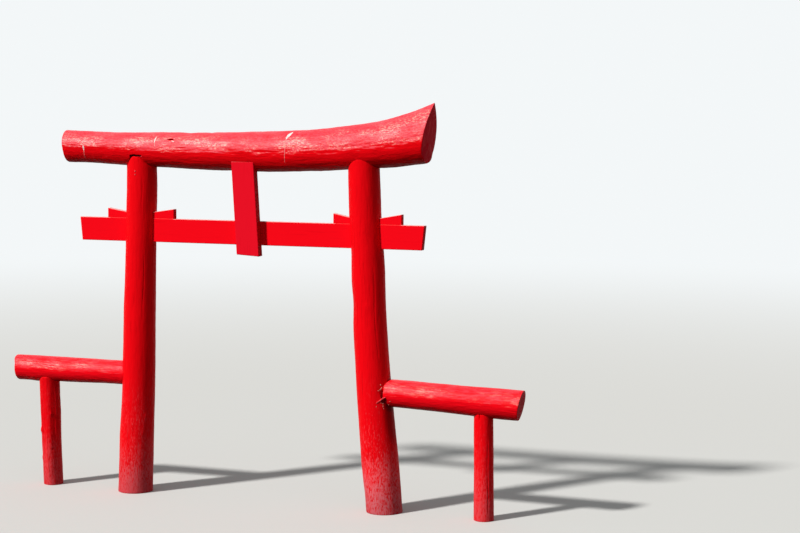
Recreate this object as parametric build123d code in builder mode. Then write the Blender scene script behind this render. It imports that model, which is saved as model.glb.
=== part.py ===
"""Log torii gate: two battered pillars, a natural log beam with one upswept end,
a wedged tie plank, a leaning name board, and a log rail on a post at each side.

Millimetres. The origin is the centre of the left pillar's foot, on the ground.
+X runs along the gate, the front faces -Y, and +Z is up.
"""

import os
from math import radians, sqrt, tan

from build123d import *

# Pillars: where they stand, how far they lean in at the seat, and how they bow
foot_spacing = 2085
left_lean, right_lean = 63, 176
left_bow, right_bow = 10, 20
left_foot_diameter, left_top_diameter = 271, 227
right_foot_diameter, right_top_diameter = 278, 234
pillar_reach = 2530
left_lip, right_lip = 70, 81
pillar_stations = 7

# Beam log: ends, belly, top line and the upswept tip on the right
beam_left, beam_right = -600, 2456
belly_lowest = 2537
belly_lowest_x = 1118
belly_rise_left, belly_rise_right = 56, 86
belly_power_left, belly_power_right = 1.5, 1.8
beam_top = 2818
top_slope_rise = 32
tip_rise = 216
tip_power = 6.5
butt_swell = 14
butt_power = 20
beam_half_width_left = 118
beam_half_width_gain = 27
tip_flare = 15
pinch_power = 6
beam_setback = 10
beam_left_cut, beam_right_cut = 9.5, 8.5
beam_stations = 13

# Stub tenons that stand in the beam's underside, and the hollow left over the left lip
tenon_side = 70
tenon_height = 95
hollow_height = 17
hollow_margin = 3
hollow_reach = 60

# Tie plank and its wedges
nuki_top = 2160
nuki_height = 176
nuki_thickness = 55
nuki_left, nuki_right = -454, 2384
nuki_end_cut = 6
mortise_side_gap = 1
wedge_thickness = 50
wedge_face_height = 46
wedge_tip_gap = 4
left_outer_wedge_reach, left_outer_wedge_height = 266, 70
left_inner_wedge_reach, left_inner_wedge_height = 293, 71
right_inner_wedge_reach, right_inner_wedge_height = 237, 69
right_outer_wedge_reach, right_outer_wedge_height = 288, 77

# Name board: hangs in front of the tie plank and leans out at the top
board_width = 167
board_thickness = 70
board_foot_x = 1003
board_left_drop, board_right_drop = 66, 86
board_top = 2612
board_lean_out = 1
board_lean_side = 3.1

# Side rails
left_rail_end = -1032
left_rail_end_height, left_rail_root_height = 932, 937
left_rail_end_diameter, left_rail_root_diameter = 199, 187
right_rail_end = 3145
right_rail_end_height, right_rail_root_height = 869, 906
right_rail_end_diameter, right_rail_root_diameter = 218, 202

# Side posts
left_post_foot_x, left_post_top_x = -741, -770
left_post_foot_diameter, left_post_top_diameter = 152, 161
right_post_foot_x, right_post_top_x = 2871, 2859
right_post_foot_diameter, right_post_top_diameter = 149, 144
left_post_lip, right_post_lip = 36, 22

# Clearance at every scribed seat between two logs, and the eased edges of sawn timber
seat_gap = 0.3
plank_bevel = 3
rail_end_bevel = 4


def pillar_shift(height, lean, bow):
    """How far a pillar's axis stands in from its foot at a height."""
    share = height / pillar_reach
    return lean * share + 4 * bow * share * (1 - share)


def left_axis(height):
    return pillar_shift(height, left_lean, left_bow)


def right_axis(height):
    return foot_spacing - pillar_shift(height, right_lean, right_bow)


def belly_height(x):
    """Underside of the beam log along the gate: a long shallow sag."""
    if x < belly_lowest_x:
        share = (belly_lowest_x - x) / (belly_lowest_x - beam_left)
        return belly_lowest + belly_rise_left * share**belly_power_left
    share = (x - belly_lowest_x) / (beam_right - belly_lowest_x)
    return belly_lowest + belly_rise_right * share**belly_power_right


def along_beam(x):
    """0 at the beam's left end and 1 at its tip."""
    return (x - beam_left) / (beam_right - beam_left)


def beam_top_height(x):
    share = max(along_beam(x), 0)
    swell = butt_swell * max(1 - share, 0) ** butt_power
    return beam_top + top_slope_rise * share + tip_rise * share**tip_power + swell


def beam_half_width(x):
    share = max(along_beam(x), 0)
    return beam_half_width_left + beam_half_width_gain * share + tip_flare * share**pinch_power


def between(start, end, share):
    return start + (end - start) * share


def beam_log(extra):
    """The beam as a loft of sections that turn from a round into a teardrop."""
    overrun = (beam_top - belly_lowest) * tan(radians(beam_left_cut))
    first = beam_left - overrun
    spacing = (beam_right + overrun - first) / (beam_stations - 1)
    quarter_round = 4 / 3 * (sqrt(2) - 1)
    with BuildPart() as log:
        for station in range(beam_stations):
            x = first + station * spacing
            half_width = beam_half_width(x) + extra
            middle = belly_height(x) + beam_half_width(x)
            crown = beam_top_height(x) - middle + extra
            pinch = min(max(along_beam(x), 0), 1) ** pinch_power
            side_pull = crown * between(quarter_round, 1 / 3, pinch)
            crown_pull = half_width * between(quarter_round, 2 / 3, pinch)
            crown_pull_height = crown * between(1, 2 / 3, pinch)
            with BuildSketch(Plane.YZ.offset(x)):
                with BuildLine():
                    CenterArc((beam_setback, middle), half_width, 180, 180)
                    Bezier(
                        (beam_setback + half_width, middle),
                        (beam_setback + half_width, middle + side_pull),
                        (beam_setback + crown_pull, middle + crown_pull_height),
                        (beam_setback, middle + crown),
                    )
                    Bezier(
                        (beam_setback, middle + crown),
                        (beam_setback - crown_pull, middle + crown_pull_height),
                        (beam_setback - half_width, middle + side_pull),
                        (beam_setback - half_width, middle),
                    )
                make_face()
        loft()
    return log.part


def pillar_log(axis, foot_diameter, top_diameter, top, extra):
    """A bowed, tapered pillar log from the ground up to a sawn top."""
    with BuildPart() as log:
        for station in range(pillar_stations):
            height = top * station / (pillar_stations - 1)
            diameter = foot_diameter + (top_diameter - foot_diameter) * height / pillar_reach
            with BuildSketch(Plane.XY.offset(height)):
                with Locations((axis(height), 0)):
                    Circle(diameter / 2 + extra)
        loft()
    return log.part


def straight_log(start_plane, start_at, start_radius, end_plane, end_at, end_radius, extra):
    """A straight tapered log between two sawn ends."""
    with BuildPart() as log:
        with BuildSketch(start_plane):
            with Locations(start_at):
                Circle(start_radius + extra)
        with BuildSketch(end_plane):
            with Locations(end_at):
                Circle(end_radius + extra)
        loft()
    return log.part


def rail_log(root_x, root_height, root_diameter, end_x, end_height, end_diameter, extra):
    return straight_log(
        Plane.YZ.offset(root_x), (0, root_height), root_diameter / 2,
        Plane.YZ.offset(end_x), (0, end_height), end_diameter / 2, extra,
    )


def post_log(foot_x, foot_diameter, top_x, top_diameter, top):
    return straight_log(
        Plane.XY, (foot_x, 0), foot_diameter / 2,
        Plane.XY.offset(top), (top_x, 0), top_diameter / 2, 0,
    )


def wedge_outline(axis_x, side, reach, end_height, pillar_radius):
    """Corners of one wedge: thick end outside, thin end inside the pillar."""
    slope = (end_height - wedge_face_height) / (reach - pillar_radius)
    inner = wedge_tip_gap / 2
    tip_height = end_height - slope * (reach - inner)
    return [
        (axis_x + side * inner, nuki_top),
        (axis_x + side * reach, nuki_top),
        (axis_x + side * reach, nuki_top + end_height),
        (axis_x + side * inner, nuki_top + tip_height),
    ]


# Heights and widths that several pieces share
nuki_bottom = nuki_top - nuki_height
nuki_front = -nuki_thickness / 2
left_seat_x, right_seat_x = left_axis(pillar_reach), right_axis(pillar_reach)
left_seat_height, right_seat_height = belly_height(left_seat_x), belly_height(right_seat_x)
left_wedge_axis, right_wedge_axis = left_axis(nuki_top), right_axis(nuki_top)
wedge_share = nuki_top / pillar_reach
left_wedge_radius = between(left_foot_diameter, left_top_diameter, wedge_share) / 2
right_wedge_radius = between(right_foot_diameter, right_top_diameter, wedge_share) / 2
left_rail_root, right_rail_root = left_axis(left_rail_root_height), right_axis(right_rail_root_height)

wedge_outlines = {
    "left_outer_wedge": wedge_outline(
        left_wedge_axis, -1, left_outer_wedge_reach, left_outer_wedge_height, left_wedge_radius
    ),
    "left_inner_wedge": wedge_outline(
        left_wedge_axis, 1, left_inner_wedge_reach, left_inner_wedge_height, left_wedge_radius
    ),
    "right_inner_wedge": wedge_outline(
        right_wedge_axis, -1, right_inner_wedge_reach, right_inner_wedge_height, right_wedge_radius
    ),
    "right_outer_wedge": wedge_outline(
        right_wedge_axis, 1, right_outer_wedge_reach, right_outer_wedge_height, right_wedge_radius
    ),
}

# Log bodies and the slightly larger copies that scribe their neighbours
beam_body, beam_seat = beam_log(0), beam_log(seat_gap)
left_top, right_top = left_seat_height + left_lip, right_seat_height + right_lip
left_log = pillar_log(left_axis, left_foot_diameter, left_top_diameter, left_top, 0)
left_cope = pillar_log(left_axis, left_foot_diameter, left_top_diameter, left_top, seat_gap)
right_log = pillar_log(right_axis, right_foot_diameter, right_top_diameter, right_top, 0)
right_cope = pillar_log(right_axis, right_foot_diameter, right_top_diameter, right_top, seat_gap)
left_rail_line = (
    left_rail_root, left_rail_root_height, left_rail_root_diameter,
    left_rail_end, left_rail_end_height, left_rail_end_diameter,
)
right_rail_line = (
    right_rail_root, right_rail_root_height, right_rail_root_diameter,
    right_rail_end, right_rail_end_height, right_rail_end_diameter,
)
left_rail_body, left_rail_seat = rail_log(*left_rail_line, 0), rail_log(*left_rail_line, seat_gap)
right_rail_body, right_rail_seat = rail_log(*right_rail_line, 0), rail_log(*right_rail_line, seat_gap)

# Beam: the sloping saw cuts leave its top longer than its belly at both ends
left_cut_plane = Plane(
    origin=(beam_left, 0, beam_top_height(beam_left)),
    z_dir=Vector(-1, 0, 0).rotate(Axis.Y, -beam_left_cut),
)
right_cut_plane = Plane(
    origin=(beam_right, 0, beam_top_height(beam_right)),
    z_dir=Vector(1, 0, 0).rotate(Axis.Y, beam_right_cut),
)
with BuildPart() as kasagi:
    add(beam_body)
    split(bisect_by=left_cut_plane, keep=Keep.BOTTOM)
    split(bisect_by=right_cut_plane, keep=Keep.BOTTOM)
    for seat_x, seat_height in ((left_seat_x, left_seat_height), (right_seat_x, right_seat_height)):
        with BuildSketch(Plane.XY.offset(seat_height - tenon_height)):
            with Locations((seat_x, 0)):
                Rectangle(tenon_side + 2 * seat_gap, tenon_side + 2 * seat_gap)
        extrude(amount=2 * tenon_height + seat_gap, mode=Mode.SUBTRACT)
    with BuildSketch(Plane.XY.offset(left_top)):
        with Locations((left_seat_x, 0)):
            Circle(left_top_diameter / 2 + hollow_margin)
            Rectangle(
                2 * left_top_diameter, 2 * left_top_diameter,
                align=(Align.CENTER, Align.MIN), mode=Mode.SUBTRACT,
            )
            Rectangle(left_top_diameter, 2 * hollow_reach, mode=Mode.SUBTRACT)
    extrude(amount=hollow_height, mode=Mode.SUBTRACT)


def jointed_pillar(log, seat_x, seat_height, mortise_x, wedge_names):
    """A pillar saddle-cut to the beam, with a stub tenon above and a wedged through mortise."""
    with BuildPart() as pillar:
        add(log)
        add(beam_seat, mode=Mode.SUBTRACT)
        with BuildSketch(Plane.XY.offset(seat_height - tenon_height)):
            with Locations((seat_x, 0)):
                Rectangle(tenon_side, tenon_side)
        extrude(amount=2 * tenon_height)
        with BuildSketch(Plane.XY.offset(nuki_bottom)):
            with Locations((mortise_x, 0)):
                Rectangle(2 * right_foot_diameter, nuki_thickness + 2 * mortise_side_gap)
        extrude(amount=nuki_height, mode=Mode.SUBTRACT)
        with BuildSketch(Plane.XZ):
            for name in wedge_names:
                with BuildLine():
                    Polyline(*wedge_outlines[name], close=True)
                make_face()
            with Locations((mortise_x, nuki_top)):
                Rectangle(2 * wedge_tip_gap, wedge_face_height / 2, align=(Align.CENTER, Align.MIN))
        extrude(amount=wedge_thickness / 2 + mortise_side_gap, both=True, mode=Mode.SUBTRACT)
    return pillar.part


solids = {
    "kasagi": kasagi.part,
    "left_pillar": jointed_pillar(
        left_log, left_seat_x, left_seat_height, left_wedge_axis,
        ("left_outer_wedge", "left_inner_wedge"),
    ),
    "right_pillar": jointed_pillar(
        right_log, right_seat_x, right_seat_height, right_wedge_axis,
        ("right_inner_wedge", "right_outer_wedge"),
    ),
}

# Tie plank: passes through both pillars, its ends cut back towards the bottom
end_slant = nuki_height * tan(radians(nuki_end_cut))
with BuildPart() as nuki:
    with BuildSketch(Plane.XZ):
        with BuildLine():
            Polyline(
                (nuki_left, nuki_top),
                (nuki_right, nuki_top),
                (nuki_right - end_slant, nuki_bottom),
                (nuki_left + end_slant, nuki_bottom),
                close=True,
            )
        make_face()
    extrude(amount=nuki_thickness / 2, both=True)
    chamfer(nuki.edges(), plank_bevel)

# Name board: stands on the tie plank's lower front edge and is scribed under the beam
board_facing = Vector(0, -1, 0).rotate(Axis.X, board_lean_out)
board_plane = Plane(
    origin=(board_foot_x, nuki_front, nuki_bottom),
    x_dir=Vector(1, 0, 0).rotate(Axis((0, 0, 0), board_facing), board_lean_side),
    z_dir=board_facing,
)
board_reach = board_top - nuki_bottom + board_thickness
with BuildPart() as name_board:
    with BuildSketch(board_plane):
        with BuildLine():
            Polyline(
                (-board_width / 2, -board_left_drop),
                (board_width / 2, -board_right_drop),
                (board_width / 2, board_reach),
                (-board_width / 2, board_reach),
                close=True,
            )
        make_face()
    extrude(amount=board_thickness)
    split(bisect_by=Plane.XY.offset(board_top), keep=Keep.BOTTOM)
    chamfer(name_board.edges(), plank_bevel)
    add(beam_seat, mode=Mode.SUBTRACT)

solids["nuki"] = nuki.part
solids["name_board"] = name_board.part

# Side rails: coped around the pillar, the outer end sawn square
with BuildPart() as left_rail:
    add(left_rail_body)
    chamfer(left_rail.edges().group_by(Axis.X)[0], rail_end_bevel)
    add(left_cope, mode=Mode.SUBTRACT)

with BuildPart() as right_rail:
    add(right_rail_body)
    chamfer(right_rail.edges().group_by(Axis.X)[-1], rail_end_bevel)
    add(right_cope, mode=Mode.SUBTRACT)

solids["left_rail"] = left_rail.part
solids["right_rail"] = right_rail.part


def side_post(foot_x, foot_diameter, top_x, top_diameter, lip, rail_line, rail_seat):
    """A post saddle-cut under its rail, whose lips reach a little up the rail's sides."""
    root_x, root_height, _, end_x, end_height, end_diameter = rail_line
    under_rail = between(root_height, end_height, (top_x - root_x) / (end_x - root_x)) - end_diameter / 2
    with BuildPart() as post:
        add(post_log(foot_x, foot_diameter, top_x, top_diameter, under_rail + lip))
        add(rail_seat, mode=Mode.SUBTRACT)
    return post.part


solids["left_post"] = side_post(
    left_post_foot_x, left_post_foot_diameter, left_post_top_x, left_post_top_diameter,
    left_post_lip, left_rail_line, left_rail_seat,
)
solids["right_post"] = side_post(
    right_post_foot_x, right_post_foot_diameter, right_post_top_x, right_post_top_diameter,
    right_post_lip, right_rail_line, right_rail_seat,
)

# Wedges: driven over the tie plank from both sides of each pillar
for wedge_name, corners in wedge_outlines.items():
    with BuildPart() as wedge:
        with BuildSketch(Plane.XZ):
            with BuildLine():
                Polyline(*corners, close=True)
            make_face()
        extrude(amount=wedge_thickness / 2, both=True)
        chamfer(wedge.edges(), plank_bevel)
    solids[wedge_name] = wedge.part

os.makedirs("parts", exist_ok=True)
for solid_name, solid in solids.items():
    solid.label = solid_name
    export_step(solid, f"parts/{solid_name}.step")
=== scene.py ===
import math
from dataclasses import dataclass
from functools import partialmethod

import bmesh
import bpy
import numpy as np
from mathutils import Matrix, Vector, noise
from mathutils.bvhtree import BVHTree


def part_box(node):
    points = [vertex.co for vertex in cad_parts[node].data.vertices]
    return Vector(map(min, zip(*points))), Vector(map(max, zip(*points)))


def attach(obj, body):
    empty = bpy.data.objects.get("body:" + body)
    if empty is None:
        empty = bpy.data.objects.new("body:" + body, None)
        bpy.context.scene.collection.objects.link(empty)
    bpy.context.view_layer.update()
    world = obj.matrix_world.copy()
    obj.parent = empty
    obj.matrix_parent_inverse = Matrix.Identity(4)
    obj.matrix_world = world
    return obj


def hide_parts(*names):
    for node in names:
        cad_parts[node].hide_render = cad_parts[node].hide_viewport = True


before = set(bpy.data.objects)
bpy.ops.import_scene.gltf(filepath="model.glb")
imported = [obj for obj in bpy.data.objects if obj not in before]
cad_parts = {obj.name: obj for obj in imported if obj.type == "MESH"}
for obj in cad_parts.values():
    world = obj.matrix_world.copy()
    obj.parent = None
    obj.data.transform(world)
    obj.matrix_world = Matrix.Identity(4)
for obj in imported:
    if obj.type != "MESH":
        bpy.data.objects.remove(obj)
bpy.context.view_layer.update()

BODY = "root"
MM = 0.001

# Camera, worked out from the gate's own proportions in the photograph
CAMERA_PLACE = Vector((6.3994, -12.0593, 2.87))
CAMERA_YAW, CAMERA_PITCH, CAMERA_ROLL = 19.2, -4.56, 0.464
LENS, SENSOR, VIEW_END = 77.76, 36.0, 200.0

# Daylight: the bearing is measured from straight in front of the gate towards its left
SUN_BEARING, SUN_HEIGHT = 37.0, 40.0
SUN_STRENGTH, SUN_SPREAD = 3.9, 5.0
SUN_COLOUR = (1.0, 0.985, 0.96)
SKY_COLOUR, SKY_FOR_SHADE = (0.95, 0.98, 1.0), 0.30
BACKGROUND = (0.90, 0.93, 0.94)
FLOOR_PALE = (0.66, 0.66, 0.64)
FLOOR_FOR_SHADE = (0.09, 0.086, 0.08)
FLOOR_MIDDLE, FLOOR_SIZE = (1.0, 0, 0), 60.0
FLOOR_FADES_FROM, FLOOR_FADES_TO = 5.0, 26.0

# Paint and weather colours, linear, and the colours of painted shade, sheen and glints
VERMILION = (0.86, 0.002, 0.006)
PLANK_RED = (0.96, 0.003, 0.010)
CRIMSON = (0.86, 0.006, 0.020)
WEATHERED_RED = (0.78, 0.002, 0.006)
DEEP_RED = (0.50, 0.001, 0.003)
# Bleached paint with a painted sheen of the sky, on what faces up on lying logs
CHALK_AND_SHEEN_PINK = (0.82, 0.072, 0.105)
# Painted glints of the sun's highlight on lying logs
PAINTED_GLINT_PINK = (0.92, 0.40, 0.32)
SALT_PINK = (0.86, 0.19, 0.22)
# Painted sheen of the sky on the upper faces of the planks
SKY_SHEEN_PINK = (0.92, 0.45, 0.43)
END_RED = (0.62, 0.004, 0.016)
END_STREAK = (0.78, 0.055, 0.065)
# Near-black red for painted shade in hollows, gaps, under the right rail and on the undersides of lying
# logs, and for paint made darker towards the ground
DARKEST_RED = (0.045, 0.002, 0.003)
GUANO = (0.86, 0.80, 0.76)
GUANO_RUN = (0.86, 0.30, 0.28)
SPLINTER = (0.62, 0.20, 0.15)
TORN_RED = (0.86, 0.05, 0.06)
NAIL_RED = (0.86, 0.06, 0.06)
RED_GLINT = (1.0, 0.12, 0.12)

# Lip of the left pillar in front of the beam: where it is highest, how it falls away, the circle
# that it lies on, how far round it stands free, and how its right half sinks into the beam
LIP_X, LIP_TOP = 0.050, 2.641
LIP_FALL_LEFT, LIP_FALL_RIGHT = 19.0, 8.0
LIP_MIDDLE, LIP_REACH, LIP_RAISE = 0.063, 0.111, 10 * MM
LIP_FREE_LEFT, LIP_FREE_RIGHT = math.radians(-52), math.radians(17)
LIP_MERGED = math.radians(60)
LIP_SINK, LIP_SINK_HEIGHT = 16 * MM, 35 * MM
FRONT = -math.pi / 2

# Gap at the front of the right rail's root, and how far round it goes
ROOT_GAP = 17 * MM
ROOT_OPEN, ROOT_CLOSED = math.radians(15), math.radians(45)

# Painted shade at places in deep shade, each an ellipsoid: its middle, its half size and how dark
# it is; in the split it is both the split's dark wood and painted shade
SPLIT_DARK = (Vector((0.3575, -0.10, 2.773)), Vector((0.033, 0.06, 0.0042)), 1.0)
ROOT_GAP_SHADE = ((2.096, -0.099, 0.9005), (0.008, 0.05, 0.034), 0.75)
UNDER_FLAP_SHADE = ((2.110, -0.085, 0.850), (0.020, 0.05, 0.019), 0.85)
ROOT_CORNER_SHADE = ((2.122, -0.085, 0.860), (0.018, 0.05, 0.018), 0.80)
UNDER_RAIL_SHADE = ((2.150, 0.0, 0.83), (0.06, 0.11, 0.07), 0.60)
BELOW_RAIL_SHADE = ((2.155, 0.0, 0.80), (0.06, 0.11, 0.30), 0.50)

# Dark crevice in the beam over that lip, and the split in the beam's upper front
CREVICE_LEFT, CREVICE_RIGHT = -0.006, 0.070
CREVICE_RISE, CREVICE_DEPTH = 9 * MM, 30 * MM
CREVICE_HALF_HEIGHT, CREVICE_NARROWING = 9 * MM, 5.5 * MM
# Ellipsoid of the crevice, in which painted shade darkens what faces up and no sheen is painted
CREVICE_MIDDLE, CREVICE_HALF = (0.039, -0.10, 2.645), (0.075, 0.08, 0.035)
SPLIT_DEPTH = 14 * MM

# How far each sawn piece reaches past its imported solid, in mm: first at the low side in X and in Z,
# then at the high side in X and in Z
SAWN_REACH = {
    "nuki": ((11, 7), (12.5, 0)),
    "left_outer_wedge": ((13, 0), (0, 5)),
    "left_inner_wedge": ((0, 0), (0, 5)),
    "right_inner_wedge": ((11.5, 0), (0, 7)),
    "right_outer_wedge": ((0, 0), (5, 1.5)),
    "name_board": ((10, 6), (9, 0)),
}

# Three dried runs down the front of the beam and a chip under its split, then the thin tails of
# the runs, each point as (x, z, half width in mm)
SPLASHES = (
    ((-0.388, 2.721, 3), (-0.387, 2.708, 6), (-0.385, 2.694, 5.5), (-0.385, 2.682, 2.5)),
    ((0.2275, 2.792, 2.5), (0.2265, 2.782, 4.5), (0.2255, 2.765, 4.5), (0.226, 2.748, 3)),
    ((1.356, 2.838, 2), (1.346, 2.826, 9), (1.334, 2.813, 12), (1.326, 2.798, 8), (1.322, 2.784, 3)),
    ((0.370, 2.7625, 2), (0.379, 2.760, 4), (0.391, 2.757, 2)),
)
TAILS = (
    ((-0.385, 2.684, 2.5), (-0.386, 2.660, 2.2), (-0.390, 2.622, 1.2)),
    ((0.226, 2.750, 3), (0.230, 2.735, 3), (0.234, 2.716, 1.5)),
    (
        (1.3225, 2.786, 3), (1.3215, 2.741, 2.4), (1.323, 2.697, 2), (1.3205, 2.654, 1.6),
        (1.3175, 2.610, 1.2),
    ),
)
MARK_STRIPS, MARK_STEPS, STRAND_STEPS, STRAND_SIDES = 6, 8, 5, 8

# Nail heads in the left pillar's lip
NAIL_X, NAIL_HEIGHTS = 0.0657, (2.526, 2.5005)
NAIL_RADIUS, NAIL_RISE, NAIL_SIDES = 6 * MM, 3.5 * MM, 16
NAIL_PROFILE = ((1.0, -0.3), (1.0, 0.35), (0.86, 0.72), (0.55, 0.93), (0.2, 1.0))

# Torn paint and splinters at the right rail's root, each point as (x, y, z, radius in mm)
TORN_FLAP = (
    (2.062, -0.120, 0.834, 1.5), (2.072, -0.117, 0.844, 4), (2.090, -0.105, 0.858, 4.5),
    (2.109, -0.103, 0.873, 5), (2.131, -0.102, 0.885, 1.5),
)
SPLINTERS = (
    ((2.087, -0.092, 0.978, 2), (2.089, -0.095, 0.973, 4.5), (2.090, -0.091, 0.968, 2)),
    (
        (2.098, -0.092, 0.956, 1.5), (2.094, -0.099, 0.948, 3), (2.086, -0.102, 0.937, 3.5),
        (2.082, -0.099, 0.932, 1.5),
    ),
    ((2.071, -0.105, 0.932, 2), (2.075, -0.109, 0.930, 3.5), (2.079, -0.104, 0.928, 2)),
    ((2.090, -0.098, 0.841, 2), (2.094, -0.100, 0.838, 3.5), (2.098, -0.095, 0.835, 2)),
    ((2.104, -0.087, 0.838, 2), (2.106, -0.091, 0.832, 3.5), (2.106, -0.087, 0.826, 2)),
    ((2.106, -0.087, 0.821, 1.5), (2.107, -0.091, 0.812, 3.2), (2.107, -0.087, 0.803, 1.5)),
    ((2.109, -0.085, 0.800, 2), (2.110, -0.088, 0.795, 3.5), (2.111, -0.084, 0.790, 2)),
    ((2.065, -0.116, 0.820, 1.2), (2.064, -0.120, 0.812, 2.6), (2.063, -0.118, 0.803, 1.2)),
    ((2.157, -0.089, 0.852, 1.5), (2.161, -0.091, 0.852, 3), (2.166, -0.089, 0.852, 1.5)),
    ((2.137, -0.063, 0.822, 1.5), (2.141, -0.065, 0.821, 3), (2.145, -0.063, 0.821, 1.5)),
)


# Surface of a log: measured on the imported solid, then given the relief of worked timber

def solid_tree(piece):
    """Search tree over one mesh."""
    mesh = piece.data
    mesh.calc_loop_triangles()
    corners = [vertex.co.copy() for vertex in mesh.vertices]
    triangles = [tuple(triangle.vertices) for triangle in mesh.loop_triangles]
    return BVHTree.FromPolygons(corners, triangles)


class LogShape:
    """A packed log measured along its own axis: `run` goes along it, `p` and `q` across."""

    START_OUTSIDE = 0.6
    INSIDE = 0.15
    CLEAR_OF_EDGE = 6 * MM
    CUT_SAMPLES = 12
    CUT_ROUNDS, SEARCH_ROUNDS = 5, 10
    STILL_WHOLE = 0.96

    def __init__(self, node, upright):
        self.tree = solid_tree(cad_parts[node])
        self.low, self.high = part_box(node)
        if upright:
            self.run, self.p, self.q = Vector((0, 0, 1)), Vector((1, 0, 0)), Vector((0, 1, 0))
        else:
            self.run, self.p, self.q = Vector((1, 0, 0)), Vector((0, 1, 0)), Vector((0, 0, 1))
        self.first, self.last = self.low.dot(self.run), self.high.dot(self.run)

    def fit_axis(self, degree, shares):
        """Centre line through the middles of the sections at these shares of the log's length."""
        stations = [self.first + (self.last - self.first) * share for share in shares]
        middles = [self.section_middle(station) for station in stations]
        self.p_line, self.q_line = (np.polyfit(stations, line, degree) for line in zip(*middles))

    def section_middle(self, station):
        """Middle of the section at a station, from opposite hits on its four sides."""
        guess = (self.low + self.high) / 2
        base = self.run * station + self.p * guess.dot(self.p) + self.q * guess.dot(self.q)
        spans = []
        for side in (self.p, self.q):
            ends = [self.hit_from(base + side * sign * self.START_OUTSIDE, -side * sign) for sign in (-1, 1)]
            spans.append(sum(end.dot(side) for end in ends) / 2)
        return spans

    def centre(self, station):
        across = np.polyval(self.p_line, station)
        up = np.polyval(self.q_line, station)
        return self.run * station + self.p * float(across) + self.q * float(up)

    def hit_from(self, origin, direction):
        return self.tree.ray_cast(origin, direction)[0]

    def radius(self, station, spoke):
        """Distance from the centre line to the surface, or NaN where the ray goes into a hole."""
        centre = self.centre(station)
        hit = self.hit_from(centre + spoke * self.START_OUTSIDE, -spoke)
        if hit is None:
            return math.nan
        return (hit - centre).dot(spoke)

    def sawn_end(self, spokes, outward):
        """Where the surface along each spoke meets the flat saw cut at one end."""
        inside = (self.last if outward > 0 else self.first) - outward * self.INSIDE
        middle = self.centre(inside)
        places, stations = [], []
        for spoke in spokes[:: len(spokes) // self.CUT_SAMPLES]:
            reach = 0.5 * self.radius(inside, spoke)
            start = middle + spoke * reach + self.run * outward * self.START_OUTSIDE
            hit = self.hit_from(start, -self.run * outward)
            places.append((1.0, hit.dot(self.p), hit.dot(self.q)))
            stations.append(hit.dot(self.run))
        cut = np.linalg.lstsq(np.array(places), np.array(stations), rcond=None)[0]
        found = []
        for spoke in spokes:
            station = inside
            for _ in range(self.CUT_ROUNDS):
                reach = self.radius(station - outward * self.CLEAR_OF_EDGE, spoke)
                rim = self.centre(station) + spoke * reach
                station = float(cut @ (1.0, rim.dot(self.p), rim.dot(self.q)))
            found.append(station)
        return np.array(found)

    def scribed_end(self, spokes, outward):
        """Where the surface along each spoke stops at a cut that follows the next log."""
        limit = self.last if outward > 0 else self.first
        found = []
        for spoke in spokes:
            whole, gone = limit - outward * self.INSIDE, limit + outward * MM
            reference = self.radius(whole, spoke)
            for _ in range(self.SEARCH_ROUNDS):
                middle = (whole + gone) / 2
                if self.radius(middle, spoke) > self.STILL_WHOLE * reference:
                    whole = middle
                else:
                    gone = middle
            found.append(whole)
        return np.array(found)


def fill_gaps(radii):
    """Bridges mortises along the log: entries that are missing or far inside are interpolated."""
    typical = np.nanmedian(radii, axis=0)
    radii = np.where(radii < 0.8 * typical, np.nan, radii)
    rows = np.arange(len(radii))
    for column in range(radii.shape[1]):
        values = radii[:, column]
        known = ~np.isnan(values)
        radii[:, column] = np.interp(rows, rows[known], values[known])
    return radii


def noise_field(points, seed):
    """Smooth noise from -1 to 1 at each point of an array (..., 3)."""
    shift = 17.3 * seed
    flat = points.reshape(-1, 3) + np.array((shift, -shift, 0.37 * shift))
    values = [noise.noise(point) for point in flat.tolist()]
    return np.array(values).reshape(points.shape[:-1])


def smooth_step(value, low, high):
    share = np.clip((value - low) / (high - low), 0, 1)
    return share * share * (3 - 2 * share)


def timber_relief(stations, angles, girth, seed, strength):
    """Radial relief of a hand-worked, painted log, in metres."""
    ring = np.stack((np.cos(angles) * girth, np.sin(angles) * girth), axis=-1)

    def layer(along, around, octave):
        place = np.concatenate((ring * around, stations[..., None] * along), axis=-1)
        return noise_field(place, seed + octave)

    wander = 2.6 * MM * layer(2.3, 6, 0)
    swell = 1.6 * MM * layer(5.5, 9, 5)
    scallop = 1.5 * MM * (np.abs(layer(7, 24, 1)) - 0.25)
    ripple = 0.9 * MM * layer(9, 55, 6)
    lump = 0.75 * MM * layer(26, 62, 2)
    pimple = 0.4 * MM * layer(70, 120, 3)
    ridge = 0.4 * MM * layer(6, 150, 4)
    return strength * (wander + swell + scallop + ripple + lump + pimple + ridge)


def turn_between(angles, angle):
    """Signed turn from an angle to others, from -pi to pi."""
    return np.mod(angles - angle + math.pi, 2 * math.pi) - math.pi


def knot_relief(stations, angles, girth, knots):
    """Branch stubs, swellings and dents, each (station, degrees, height, half length, half width)
    with the last three in mm."""
    total = np.zeros_like(stations)
    for station, degrees, height, length, width in knots:
        around = turn_between(angles, math.radians(degrees)) * girth
        distance = np.hypot((stations - station) / (length * MM), around / (width * MM))
        total += height * MM * np.exp(-distance**2)
    return total


def check_relief(stations, angles, girth, checks):
    """Drying cracks, or ridges where the depth is negative, each (start, end, degrees, depth, half
    width) with the last two in mm."""
    total = np.zeros_like(stations)
    for start, end, degrees, depth, width in checks:
        share = np.clip((stations - start) / (end - start), 0, 1)
        sway = 0.04 * np.sin(7 * share + start * 7)
        around = turn_between(angles, math.radians(degrees) + sway) * girth
        taper = np.sin(math.pi * share) ** 0.5
        total -= depth * MM * taper * np.exp(-((around / (width * MM)) ** 2))
    return total


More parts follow.
